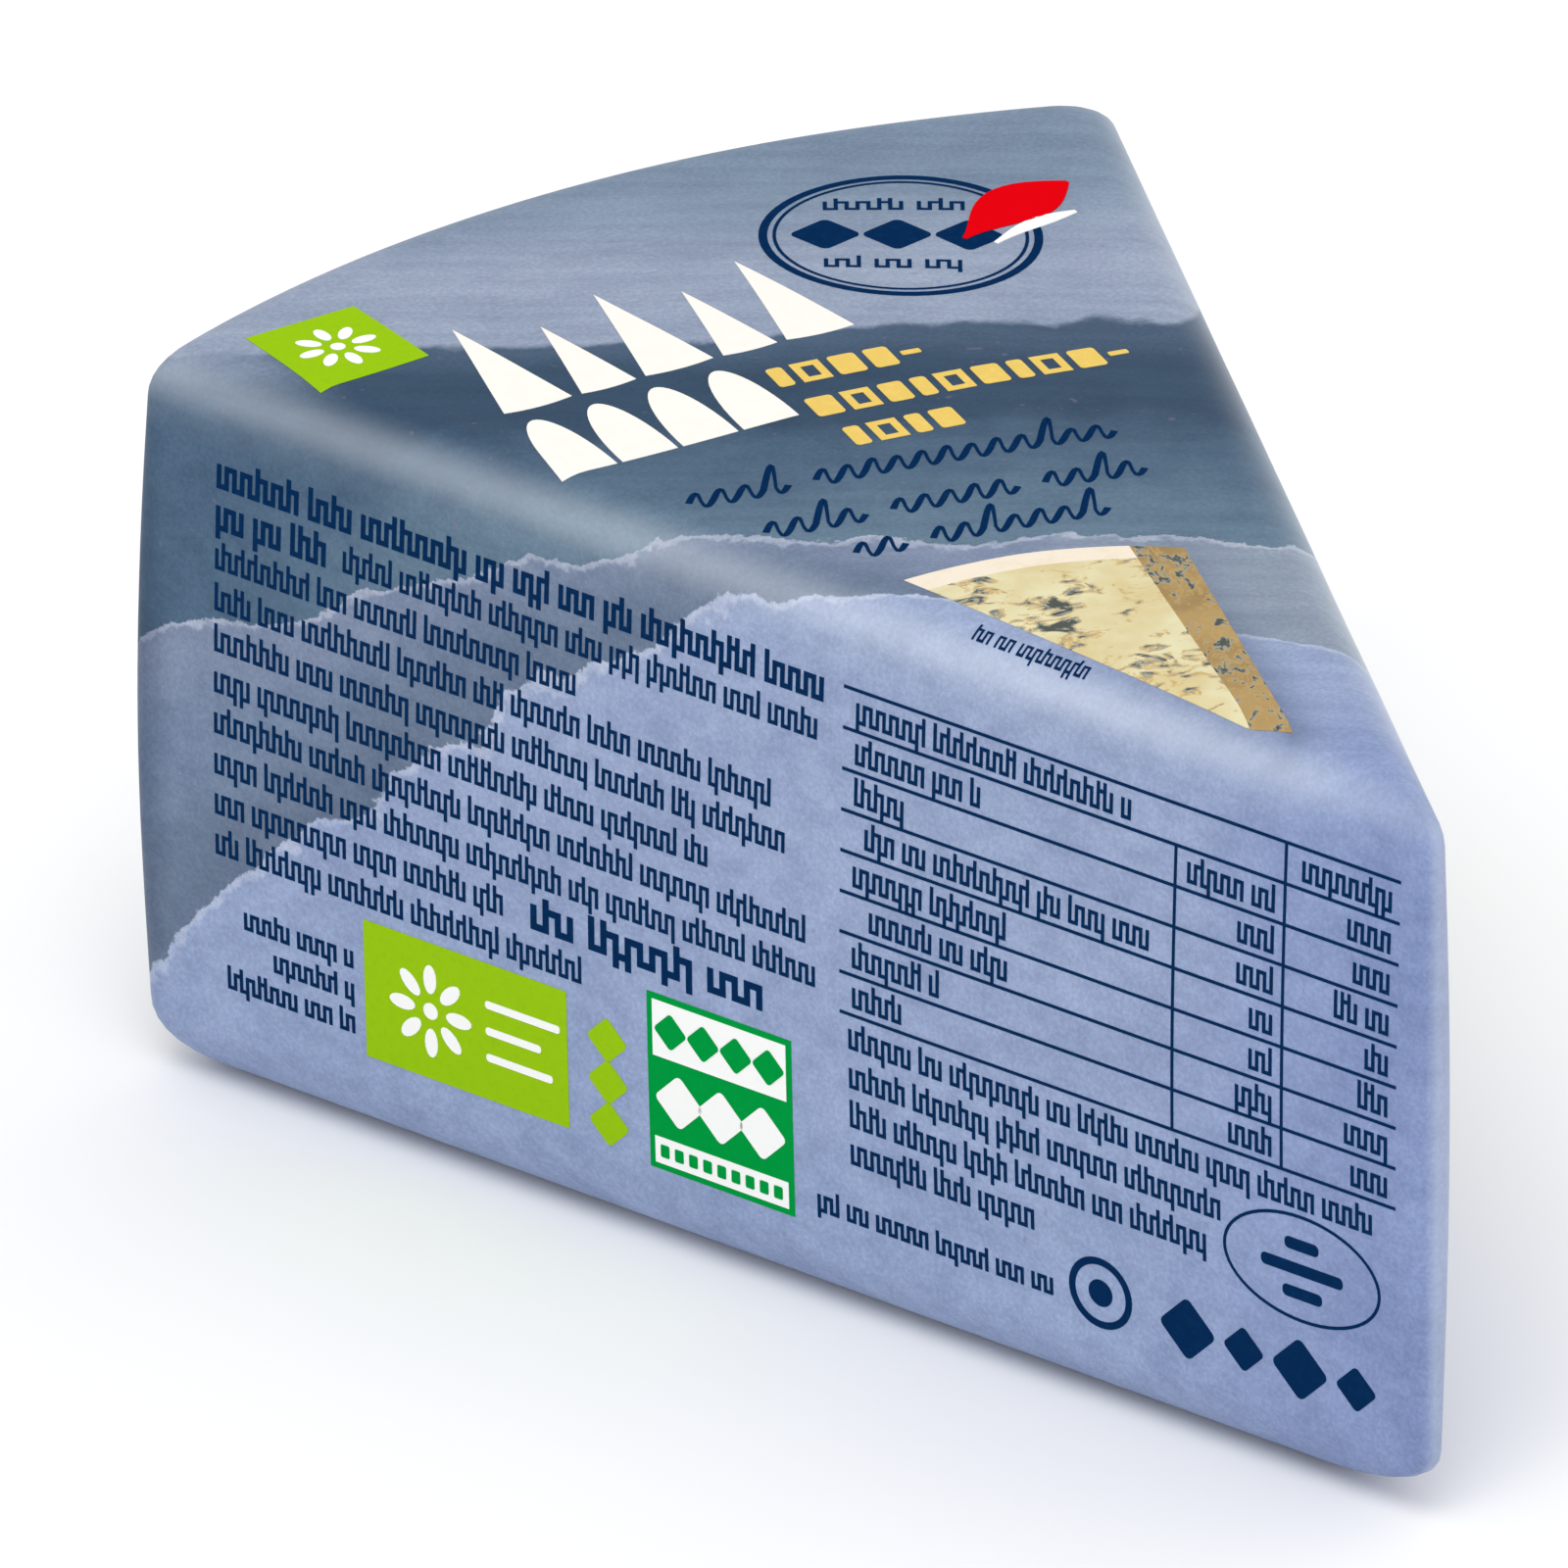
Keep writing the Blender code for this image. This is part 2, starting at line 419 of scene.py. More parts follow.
def printed_paper():
    """Paper laminate, offset printed and satin varnished: soft washes of blue that tear into each other,
    a fine paper tooth, stray fibres, a broad soft highlight painted along the folds, and painted shade
    darkening the left edge."""
    material, tree, shader, spot = new_material("satin_printed_paper")
    place = add(tree, "ShaderNodeSeparateXYZ", {"Vector": spot}).outputs
    corner = add(tree, "ShaderNodeVectorMath", {0: spot, 1: FAR_CORNER_WAY}, operation="DOT_PRODUCT")
    ridge = height_over(tree, spot, *RIDGE_EDGE)
    tear = height_over(tree, spot, *TEAR_EDGE)

    # The low tear droops beside the far left edge
    droop = add(tree, "ShaderNodeMapRange", {
        "Value": place["X"],
        "From Min": -29.6,
        "From Max": -32.8,
        "To Max": 1.7,
    }, interpolation_type="SMOOTHSTEP").outputs["Result"]
    low_tear = height_over(tree, spot, *LOW_TEAR_EDGE)
    low_tear = add(tree, "ShaderNodeMath", {0: low_tear, 1: droop}).outputs["Value"]

    # Brush strokes run along the ridges, 1.4 mm wide and nine times as long. Clouds of wash are 7 mm wide
    along_ridges = add(tree, "ShaderNodeMapping", {
        "Vector": spot,
        "Rotation": (0, 0, math.radians(-31.7)),
        "Scale": (9.0, 1.0, 1.0),
    }, vector_type="TEXTURE").outputs["Vector"]
    strokes, clouds = (
        add(tree, "ShaderNodeTexNoise", {
            "Vector": where,
            "Scale": 1 / size_mm,
            "Detail": 5.0,
            "Roughness": 0.6,
        }).outputs["Fac"]
        for where, size_mm in ((along_ridges, 1.4), (spot, 7.0))
    )

    # The washes of each field, by millimetres over its edge or by the place on the pack
    mist = wash(tree, ridge, 3.2, 8.0, MIST, MIST_EDGE)
    rolling = swung(tree, ridge, clouds, 0.7)
    dark = wash(tree, rolling, -0.2, -1.8, RIDGE_DARK, RIDGE_LIP)
    dark = wash(tree, rolling, -3.9, -6.2, RIDGE_MID, dark)
    dark = wash(tree, rolling, -6.0, -10.5, RIDGE_PALE, dark)
    # Painted shade: darker towards the left edge
    dark = wash(tree, place["X"], -25.0, -32.0, RIDGE_PAINTED_SHADE, dark)
    dark = wash(tree, corner.outputs["Value"], 51.0, 52.7, MIST_EDGE, dark)
    haze = wash(tree, tear, -0.5, -6.0, HAZE_MID, HAZE)
    haze = wash(tree, tear, -6.0, -14.0, HAZE_LOW, haze)
    haze = wash(tree, low_tear, 4.0, 0.5, HAZE_LOW, haze)
    haze = wash(tree, place["X"], -6.0, 4.0, HAZE_RIGHT, haze)
    dusk = wash(tree, place["Z"], 34.0, 2.0, DUSK_LOW, DUSK)
    dusk = wash(tree, place["Y"], -26.0, -45.0, DUSK_TIP, dusk)

    # Each field begins over the edge of the one below it
    colour = wash(tree, low_tear, -0.06, 0.06, haze, dusk)
    colour = wash(tree, tear, -0.06, 0.06, dark, colour)
    colour = wash(tree, ridge, -0.15, 0.2, mist, colour)

    # The torn edges show the paper's pale core, in a strip of uneven width
    frays = add(tree, "ShaderNodeTexNoise", {"Vector": spot, "Scale": 1 / 1.3, "Detail": 4.0})
    for edge in (tear, low_tear):
        strip = add(tree, "ShaderNodeMapRange", {
            "Value": swung(tree, edge, frays.outputs["Fac"], 0.25),
            "From Min": -0.42,
            "From Max": -0.12,
            "To Max": 0.33,
        }, interpolation_type="SMOOTHSTEP").outputs["Result"]
        colour = wash(tree, edge, 0.06, -0.02, TORN_FIBRE, colour, depth=strip)

    # Painted shade darkening the left edge, uneven washes, brush strokes, paper tooth and stray fibres
    tooth = add(tree, "ShaderNodeTexNoise", {"Vector": spot, **TOOTH}).outputs["Fac"]
    fibres = add(tree, "ShaderNodeTexNoise", {"Vector": spot, "Scale": 1 / 0.75, "Detail": 1.0})
    for value, start, end, tint, depth, blend in (
        (place["X"], -31.8, -33.0, "#BFC4CC", 1.0, "MULTIPLY"),
        (clouds, 0.35, 0.75, "#E2E5EC", 0.6, "MULTIPLY"),
        (strokes, 0.3, 0.75, "#CDD3DC", 0.5, "MULTIPLY"),
        (tooth, 0.35, 0.7, "#FFFFFF", 0.22, "OVERLAY"),
        (fibres.outputs["Fac"], 0.72, 0.8, "#7B6C88", 0.3, "MIX"),
    ):
        colour = wash(tree, value, start, end, tint, colour, depth, blend)

    # A highlight is painted along the folds, and a soft shadow is printed beside the picture of the cheese
    painted_highlight = add(tree, "ShaderNodeAttribute", attribute_name="painted_highlight").outputs["Fac"]
    shadow = add(tree, "ShaderNodeAttribute", attribute_name="picture_shadow").outputs["Fac"]
    highlight_share = add(tree, "ShaderNodeMath", {0: painted_highlight, 1: FOLD_HIGHLIGHT_SHARE}, operation="MULTIPLY")
    for share, tint in ((highlight_share.outputs["Value"], PAINTED_FOLD_HIGHLIGHT), (shadow, PICTURE_SHADOW)):
        mixed = add(tree, "ShaderNodeMix", {0: share, COLOUR_A: colour, COLOUR_B: tint}, data_type="RGBA")
        colour = mixed.outputs[COLOUR_OUT]
    tree.links.new(colour, shader.inputs["Base Color"])
    satin(tree, shader, clouds, (0.42, 0.54), 0.12, tooth, 0.12)
    return material


def ink(name, hex_colour, worn_hex, worn, size_mm):
    """Offset ink on the satin paper: an even matt film that the paper's tooth breaks up a little."""
    material, tree, shader, spot = new_material(name)
    patches = add(tree, "ShaderNodeTexNoise", {
        "Vector": spot,
        "Scale": 1 / size_mm,
        "Detail": 5.0,
        "Roughness": 0.65,
    }).outputs["Fac"]
    tooth = add(tree, "ShaderNodeTexNoise", {"Vector": spot, **TOOTH}).outputs["Fac"]
    colour = wash(tree, patches, 0.45, 0.8, worn_hex, hex_colour, depth=worn)
    tree.links.new(colour, shader.inputs["Base Color"])
    satin(tree, shader, patches, (0.38, 0.52), 0.0, tooth, 0.1)
    return material


def printed_cheese(name, pale, deep, vein_share, stretch, vein_mm, bunching):
    """A picture of blue cheese in printed inks: creamy paste, darker in patches, with veins of mould
    that are stretched one way and stand in bunches."""
    material, tree, shader, spot = new_material(name)
    stretched = add(tree, "ShaderNodeMapping", {
        "Vector": spot,
        "Rotation": (0, 0, math.radians(stretch)),
        "Scale": (1.5, 1.0, 1.0),
    }, vector_type="TEXTURE").outputs["Vector"]
    veins = add(tree, "ShaderNodeTexNoise", {
        "Vector": stretched,
        "Scale": 1 / vein_mm,
        "Detail": 4.0,
        "Roughness": 0.65,
        "Distortion": 0.6,
    }).outputs["Fac"]
    bunches = add(tree, "ShaderNodeTexNoise", {"Vector": spot, "Scale": 1 / 4.6, "Detail": 1.0})
    lift = add(tree, "ShaderNodeMath", {0: bunches.outputs["Fac"], 1: 0.5}, operation="SUBTRACT")
    bunched = {0: lift.outputs["Value"], 1: bunching, 2: veins}
    vein = add(tree, "ShaderNodeMath", bunched, operation="MULTIPLY_ADD").outputs["Value"]

    patches = add(tree, "ShaderNodeTexNoise", {"Vector": spot, "Scale": 1 / 4.0, "Detail": 4.0})
    colour = wash(tree, patches.outputs["Fac"], 0.35, 0.7, deep, pale)
    edge = 0.68 - vein_share
    colour = wash(tree, vein, edge - 0.08, edge, VEIN_RIM, colour, depth=0.75)
    colour = wash(tree, vein, edge - 0.01, edge + 0.03, VEIN, colour)
    colour = wash(tree, vein, edge + 0.02, edge + 0.09, VEIN_DEEP, colour)
    tree.links.new(colour, shader.inputs["Base Color"])
    satin(tree, shader, veins, (0.38, 0.5), 0.1)
    return material


def finish_piece(name, mesh, material):
    """Makes a piece of a closed mesh, which then moves with the pack."""
    bmesh.ops.recalc_face_normals(mesh, faces=mesh.faces)
    data = bpy.data.meshes.new(name)
    mesh.to_mesh(data)
    mesh.free()
    data.materials.append(material)
    piece = bpy.data.objects.new(name, data)
    bpy.context.scene.collection.objects.link(piece)
    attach(piece, BODY)
    return piece


# Faces of the pack, each as a way to turn a place in millimetres into a ray that meets the paper there
CAST_FROM = 0.012
LEFT_OUT = Vector((-math.cos(HALF_ANGLE), -math.sin(HALF_ANGLE), 0))
RIGHT_OUT = Vector((math.cos(HALF_ANGLE), -math.sin(HALF_ANGLE), 0))
LEFT_ALONG = Vector((math.sin(HALF_ANGLE), -math.cos(HALF_ANGLE), 0))
RIGHT_ALONG = Vector((math.sin(HALF_ANGLE), math.cos(HALF_ANGLE), 0))
TIP = Vector((0, TIP_Y, 0))
SIDE_MM = LENGTH / MM


def on_top(across, along):
    """Across the wedge and along it, from the middle of the pack."""
    return Vector((across * MM, along * MM, HEIGHT + CAST_FROM)), Vector((0, 0, -1))


def on_left_side(across, up):
    """From the back end of the left cut side towards the point, and up from the underside."""
    start = TIP - LEFT_ALONG * (SIDE_MM - across) * MM + LEFT_OUT * CAST_FROM
    return start + Vector((0, 0, up * MM)), -LEFT_OUT


def on_right_side(across, up):
    """From the point towards the back end of the right cut side, and up from the underside."""
    start = TIP + RIGHT_ALONG * across * MM + RIGHT_OUT * CAST_FROM
    return start + Vector((0, 0, up * MM)), -RIGHT_OUT


def on_back(across, up):
    """Round the back from its middle, to the right as one faces it, and up from the underside."""
    turn = across * MM / BACK_RADIUS
    out = Vector((-math.sin(turn), math.cos(turn), 0))
    centre = Vector((0, TIP_Y + LENGTH - BACK_RADIUS, up * MM))
    return centre + out * (BACK_RADIUS + CAST_FROM), -out


def cut_to_lie(mesh, pitch):
    """Cuts flat shapes into cells this many millimetres wide, so that they can follow the paper."""
    for axis in (0, 1):
        spread = [corner.co[axis] for corner in mesh.verts]
        across = Vector((axis == 0, axis == 1, 0))
        for i in range(math.ceil(min(spread) / pitch), math.floor(max(spread) / pitch) + 1):
            parts = mesh.verts[:] + mesh.edges[:] + mesh.faces[:]
            place = across * i * pitch
            bmesh.ops.bisect_plane(mesh, geom=parts, dist=1e-5, plane_co=place, plane_no=across)


def lay_on(mesh, onto, lift):
    """Gives flat shapes the thickness of ink, and lays them onto a face of the pack."""
    made = bmesh.ops.extrude_face_region(mesh, geom=mesh.faces[:])["geom"]
    raised = {part for part in made if isinstance(part, bmesh.types.BMVert)}
    for corner in mesh.verts:
        spot, facing, *_ = wrapper_tree.ray_cast(*onto(corner.co.x, corner.co.y))
        corner.co = spot + facing * (lift if corner in raised else -INK_SINK)


def printed(name, material, onto, draw, lift=INK_LIFT, pitch=LIE_PITCH):
    """A piece of print: draw lays out flat shapes on the face in millimetres."""
    mesh = bmesh.new()
    draw(mesh)
    if pitch:
        cut_to_lie(mesh, pitch)
    lay_on(mesh, onto, lift)
    return finish_piece(name, mesh, material)


def turned(mesh, corners, middle, degrees):
    """Turns some corners about a middle, anticlockwise."""
    turn = Matrix.Rotation(math.radians(degrees), 3, "Z")
    bmesh.ops.rotate(mesh, verts=corners, cent=(*middle, 0), matrix=turn)
    return corners


def block(mesh, left, bottom, width, height, rounding=0.0):
    """A flat block, its corners rounded."""
    before = set(mesh.verts)
    corners = bmesh.ops.create_grid(mesh, x_segments=1, y_segments=1, size=0.5)["verts"]
    bmesh.ops.scale(mesh, verts=corners, vec=(width, height, 1))
    bmesh.ops.translate(mesh, verts=corners, vec=(left + width / 2, bottom + height / 2, 0))
    if rounding:
        bmesh.ops.bevel(
            mesh, geom=corners, offset=rounding, affect="VERTICES", segments=4, profile=0.5, material=-1)
    return [corner for corner in mesh.verts if corner not in before]


def lozenge(mesh, middle, side):
    """A square on its point, its corners softly rounded."""
    corners = block(mesh, middle[0] - side / 2, middle[1] - side / 2, side, side, side * 0.14)
    return turned(mesh, corners, middle, 45)


def disc(mesh, middle, radius, sides=28, squash=1.0):
    corners = bmesh.ops.create_circle(mesh, cap_ends=True, segments=sides, radius=radius)["verts"]
    bmesh.ops.scale(mesh, verts=corners, vec=(1, squash, 1))
    bmesh.ops.translate(mesh, verts=corners, vec=(*middle, 0))
    return corners


def ring(mesh, middle, outer, inner, sides=40, squash=1.0):
    """A flat ring, squashed to an oval where squash isn't 1."""
    rims = []
    for radius in (outer, inner):
        made = bmesh.ops.create_circle(mesh, cap_ends=False, segments=sides, radius=radius)
        rims.append(made["verts"])
    corners = rims[0] + rims[1]
    bmesh.ops.bridge_loops(mesh, edges=edges_of(corners))
    width = outer - inner
    for corner in rims[0]:
        corner.co.y *= squash
    for corner in rims[1]:
        corner.co.y *= (outer * squash - width) / inner
    bmesh.ops.translate(mesh, verts=corners, vec=(*middle, 0))
    return corners


def sector(mesh, middle, outer, start, sweep, inner=0.0, steps=24):
    """Part of a wheel: from a start angle through a sweep, both in degrees."""
    turn = math.radians(start)
    way = Vector((math.cos(turn), math.sin(turn), 0))
    ends = [mesh.verts.new(Vector((*middle, 0)) + way * radius) for radius in (inner, outer)]
    spoke = mesh.edges.new(ends)
    before = set(mesh.verts) - set(ends)
    bmesh.ops.spin(
        mesh, geom=[spoke], cent=(*middle, 0), axis=(0, 0, 1), angle=math.radians(sweep), steps=steps)
    made = [corner for corner in mesh.verts if corner not in before]
    bmesh.ops.remove_doubles(mesh, verts=made, dist=1e-4)
    return [corner for corner in mesh.verts if corner not in before]


# One line of filler strokes has five rows: below the line, foot, body, head, and above
DROP_ROW, FOOT_ROW, BODY_ROW, HEAD_ROW, RISE_ROW = range(5)
DROP_REACH = 0.36
RISE_REACH = 1.36

# The fewest and the most strokes of a word, and the gap after it in strokes. A throw of the dice under
# the first share makes a stroke rise over the line, and else one under the second makes it drop below
WORD_STROKES = (4, 15)
WORD_GAP = 1.25
RISE_THROW, DROP_THROW = 0.2, 0.29


def stroke_columns(length, stroke, pitch, dice):
    """Widths of the columns of one line and the rows filled in each: words of upright strokes,
    joined at the head and the foot by turns, so that they are filler and not letters."""
    columns = []
    used = 0.0
    while used < length - 2 * pitch:
        strokes = min(dice.randint(*WORD_STROKES), int((length - used) / pitch))
        for i in range(strokes):
            rows = {FOOT_ROW, BODY_ROW, HEAD_ROW}
            throw = dice.random()
            if throw < RISE_THROW:
                rows.add(RISE_ROW)
            elif throw < DROP_THROW:
                rows.add(DROP_ROW)
            columns.append((stroke, rows))
            if i < strokes - 1:
                columns.append((pitch - stroke, {HEAD_ROW if i % 2 else FOOT_ROW}))
        columns.append((pitch * WORD_GAP, set()))
        used += strokes * pitch + pitch * WORD_GAP - (pitch - stroke)
    return columns[:-1]


def filler_line(mesh, left, middle, length, dice, height=1.28, stroke=0.23, pitch=0.47, right_aligned=False):
    """One line of filler strokes, whose x-height is centred on the given level."""
    columns = stroke_columns(length, stroke, pitch, dice)
    total = sum(width for width, rows in columns)
    start = left + length - total if right_aligned else left
    across = [start]
    for width, rows in columns:
        across.append(across[-1] + width)
    foot = middle - height / 2
    up = [foot - DROP_REACH * height, foot, foot + stroke, foot + height - stroke, foot + height,
          foot + RISE_REACH * height]

    grid = bmesh.ops.create_grid(mesh, x_segments=len(columns), y_segments=len(up) - 1, size=1)["verts"]
    unused = []
    for face in {face for corner in grid for face in corner.link_faces}:
        spot = face.calc_center_median()
        column = int((spot.x + 1) / 2 * len(columns))
        row = int((spot.y + 1) / 2 * (len(up) - 1))
        if row not in columns[column][1]:
            unused.append(face)
    for corner in grid:
        column = round((corner.co.x + 1) / 2 * len(columns))
        row = round((corner.co.y + 1) / 2 * (len(up) - 1))
        corner.co = (across[column], up[row], 0)
    before = set(mesh.verts) - set(grid)
    bmesh.ops.delete(mesh, geom=unused, context="FACES")
    return [corner for corner in mesh.verts if corner not in before]


# Layout of the left cut side, in millimetres from its back end and from the underside
TEXT_LEFT = 7.1
LINE_PITCH = 2.58
TOP_LINE = 39.5
TABLE_LEFT, TABLE_RIGHT = 52.3, 91.9
TABLE_TOP, TABLE_PITCH, TABLE_RULES = 40.1, 2.54, 9
TABLE_COLUMNS = (75.95, 83.7)
RULE = 0.2


def bold_line(mesh, left, middle, length, dice):
    return filler_line(mesh, left, middle, length, dice, height=1.5, stroke=0.32, pitch=0.56)


def side_text(mesh):
    """The block of small print, with its first line and a half in a heavier cut."""
    dice = random.Random(11)
    bold_line(mesh, TEXT_LEFT, TOP_LINE, 44.2, dice)
    bold_line(mesh, TEXT_LEFT, TOP_LINE - LINE_PITCH, 8.4, dice)
    filler_line(mesh, TEXT_LEFT + 9.2, TOP_LINE - LINE_PITCH, 34.6, dice)
    lengths = (27.0, 40.5, 41.6, 36.4, 43.2, 44.0, 21.5, 27.0)
    for i, length in enumerate(lengths):
        filler_line(mesh, TEXT_LEFT, TOP_LINE - LINE_PITCH * (i + 2), length, dice)
    heavy_level = TOP_LINE - LINE_PITCH * len(lengths)
    filler_line(mesh, TEXT_LEFT + 22.9, heavy_level, 17.2, dice, height=1.6, stroke=0.44, pitch=0.88)
    for level, length in ((11.9, 8.4), (9.8, 6.2), (7.7, 9.6)):
        filler_line(mesh, 17.0 - length, level, length, dice, height=1.1, pitch=0.44, right_aligned=True)


def table_level(row):
    """The level of the text in a row of the table, the top row being 0."""
    return TABLE_TOP - TABLE_PITCH * (row + 0.5) - 0.05


def table_text(mesh):
    """Rows of the table, and the notes under it."""
    dice = random.Random(12)
    labels = (20.2, 9.4, 4.0, 20.8, 11.5, 10.2, 6.6, 4.2)
    indents = (0, 0, 0, 0.8, 0, 1.2, 0, 0)
    for row, (length, indent) in enumerate(zip(labels, indents)):
        filler_line(mesh, TABLE_LEFT + 0.9 + indent, table_level(row), length, dice)
    for right, first_row, lengths in (
        (TABLE_COLUMNS[1], 1, (6.6, 3.2, 3.0, 2.2, 2.2, 3.0, 3.4)),
        (TABLE_RIGHT, 0, (6.8, 3.4, 3.6, 4.2, 2.8, 2.8, 3.6, 3.6)),
    ):
        for row, length in enumerate(lengths, first_row):
            filler_line(mesh, right - 0.6 - length, table_level(row), length, dice, right_aligned=True)
    for level, length in ((18.3, 37.6), (15.8, 27.0), (13.3, 26.8), (10.9, 14.4)):
        filler_line(mesh, TABLE_LEFT + 0.6, level, length, dice)
    filler_line(mesh, 50.4, 7.0, 17.2, dice, height=1.1, pitch=0.44)


def table_rules(mesh):
    for i in range(TABLE_RULES):
        block(mesh, TABLE_LEFT, TABLE_TOP - TABLE_PITCH * i, TABLE_RIGHT - TABLE_LEFT, RULE)
    bottom = TABLE_TOP - TABLE_PITCH * (TABLE_RULES - 1)
    for column, rows in zip(TABLE_COLUMNS, (TABLE_RULES - 2, TABLE_RULES - 1)):
        for row in range(rows):
            block(mesh, column, bottom + TABLE_PITCH * row + RULE, RULE, TABLE_PITCH - RULE)


def plain_marks(mesh):
    """A row of lozenges, a ring round a disc, and an oval with three bars in it."""
    for i in range(4):
        lozenge(mesh, (76.9 + 4.0 * i, 7.4), 2.9 - 0.8 * (i % 2))
    middle = (70.7, 7.7)
    ring(mesh, middle, 2.25, 1.8)
    disc(mesh, middle, 0.85)
    ring(mesh, (85.2, 13.9), 5.6, 5.4, sides=56, squash=0.61)
    for left, bottom, width in ((84.0, 15.0, 2.4), (82.3, 13.45, 5.8), (83.8, 11.9, 2.8)):
        block(mesh, left, bottom, width, 0.75, 0.3)


def flower(mesh, middle, reach, petals=8):
    """A plain round of petals."""
    for i in range(petals):
        corners = disc(mesh, (reach * 0.66, 0), reach * 0.3, sides=14, squash=0.5)
        turned(mesh, corners, (0, 0), 360 / petals * i)
        bmesh.ops.translate(mesh, verts=corners, vec=(*middle, 0))
    disc(mesh, middle, reach * 0.17, sides=14)


def side_lime(mesh):
    """A lime field, and a column of plain shapes beside it."""
    block(mesh, 17.8, 6.0, 14.7, 8.8)
    for i in range(3):
        lozenge(mesh, (35.4, 7.2 + 2.7 * i), 2.1)


def side_white(mesh):
    """A flower and three bars on the lime field."""
    flower(mesh, (22.6, 10.4), 3.1)
    for i, length in enumerate((5.4, 4.0, 4.8)):
        block(mesh, 26.6, 11.9 - 1.7 * i, length, 0.5, 0.2)


def green_panel(mesh):
    block(mesh, 38.35, 5.5, 10.4, 11.3)


def panel_white(mesh):
    """Two white bands on the green panel, with white lozenges between."""
    block(mesh, 38.75, 12.8, 9.6, 3.6)
    block(mesh, 38.75, 5.9, 9.6, 1.7)
    for i in range(3):
        lozenge(mesh, (40.55 + 3.0 * i, 10.2), 2.5)


def panel_green_marks(mesh):
    for i in range(4):
        lozenge(mesh, (40.05 + 2.35 * i, 14.6), 1.7)
    for i in range(9):
        block(mesh, 39.15 + 1.02 * i, 6.35, 0.62, 0.8, 0.1)


# Layout of the top, in millimetres from the middle of the pack
TITLE_TURN = -4.0
WEDGE_HEIGHT = 10.8
WEDGE_SWEEP = 23.0
PRODUCT_TURN = -7.0
PRODUCT_LEFT = -4.8
PRODUCT_HEIGHT = 2.3
PRODUCT_GAP = 0.5
SCRIPT_TURN = -11.0
STAMP_MIDDLE = (11.4, 28.6)
STAMP_TURN = -31.0
PEN_WIDTH = 0.35
PEN_PITCH = 1.5
PEN_LEAN = 0.4
PEN_DIP = 0.7
PEN_STEPS = 16
BRUSH_STEPS = 16
CAPTION_START = (-7.9, -22.8)
SLICE_TIP = (-3.9, -33.6)
SLICE_RADIUS = 24.3
SLICE_START, SLICE_SWEEP = 76.5, 30.8
SLICE_RIND = 1.7
SLICE_SLANT = -0.28
TIP_DROP = Vector((1.5, -2.1, 0))
RIND_DROP = Vector((2.6, -1.7, 0))
SHADE_DEPTH, SHADE_REACH = 0.7, 3.2


def top_lime(mesh):
    turned(mesh, block(mesh, -26.7, 29.6, 7.3, 7.8), (-23.0, 33.5), 2)


def top_white(mesh):
    flower(mesh, (-23.0, 33.5), 2.6)


def wedge_row(mesh, left, foot, pitch, count):
    """A row of cheese wedges seen from above, every other one shorter."""
    corners = []
    for i in range(count):
        tall = WEDGE_HEIGHT * (1 - 0.2 * (i % 2))
        middle = (left + pitch * i, foot + tall)
        corners += sector(mesh, middle, tall, 270 - WEDGE_SWEEP / 2, WEDGE_SWEEP, steps=12)
    return corners


def half_wheel_row(mesh, left, foot, radius, height, pitch, count):
    """A row of half wheels of cheese, stretched upwards."""
    corners = []
    from_foot = Matrix.Translation((0, -foot, 0))
    for i in range(count):
        half = sector(mesh, (left + pitch * i, foot), radius, 0, 180)
        bmesh.ops.scale(mesh, verts=half, vec=(1, height / radius, 1), space=from_foot)
        corners += half
    return corners


def title_shapes(mesh):
    """A row of cheese wedges, and a row of half wheels under it."""
    corners = wedge_row(mesh, -17.3, 20.3, 4.5, 5)
    corners += half_wheel_row(mesh, -18.4, 12.0, 1.75, 7.0, 3.85, 4)
    turned(mesh, corners, (-8, 20), TITLE_TURN)


def hollow_block(mesh, left, bottom, width, height, wall):
    corners = block(mesh, left, bottom, width, wall)
    corners += block(mesh, left, bottom + height - wall, width, wall)
    for side in (left, left + width - wall):
        corners += block(mesh, side, bottom + wall, wall, height - 2 * wall)
    return corners


def product_lines(mesh):
    """Three rows of gold blocks, some with an open middle."""
    dice = random.Random(21)
    for level, count, dashed in ((15.2, 4, True), (11.0, 9, True), (6.9, 4, False)):
        left = PRODUCT_LEFT
        corners = []
        for i in range(count):
            width = dice.choice((1.0, 1.5, 1.7))
            if i % 3 == 1:
                width = 1.8
                corners += hollow_block(mesh, left, level, width, PRODUCT_HEIGHT, 0.5)
            else:
                corners += block(mesh, left, level, width, PRODUCT_HEIGHT, 0.25)
            left += width + PRODUCT_GAP
        if dashed:
            corners += block(mesh, left, level + 0.9, 1.2, 0.5, 0.1)
        turned(mesh, corners, (PRODUCT_LEFT, level), PRODUCT_TURN)


def ribbon(mesh, path, widths):
    """A flat ribbon along a path, with its own width at each point."""
    last = len(path) - 1
    corners = bmesh.ops.create_grid(mesh, x_segments=last, y_segments=1, size=1)["verts"]
    for corner in corners:
        i = round((corner.co.x + 1) / 2 * last)
        way = path[min(i + 1, last)] - path[max(i - 1, 0)]
        across = Vector((-way.y, way.x, 0)).normalized()
        corner.co = path[i] + across * math.copysign(widths[i] / 2, corner.co.y)
    return corners


def script_word(mesh, left, level, waves, dice):
    """One word of penned waves that spell nothing. The pen leans, and some waves swing higher."""
    reach = [dice.choice((0.9, 1.0, 1.1, 2.6)) for _ in range(waves)]
    path, widths = [], []
    for i in range(waves * PEN_STEPS + 1):
        wave, share = divmod(i / PEN_STEPS, 1)
        wave = min(int(wave), waves - 1)
        swing = math.sin(share * 2 * math.pi)
        rise = swing * (reach[wave] if swing > 0 else PEN_DIP)
        path.append(Vector((left + i / PEN_STEPS * PEN_PITCH + PEN_LEAN * rise, level + rise, 0)))
        widths.append(PEN_WIDTH * (0.85 + 0.3 * math.cos(share * 2 * math.pi)))
    return ribbon(mesh, path, widths)


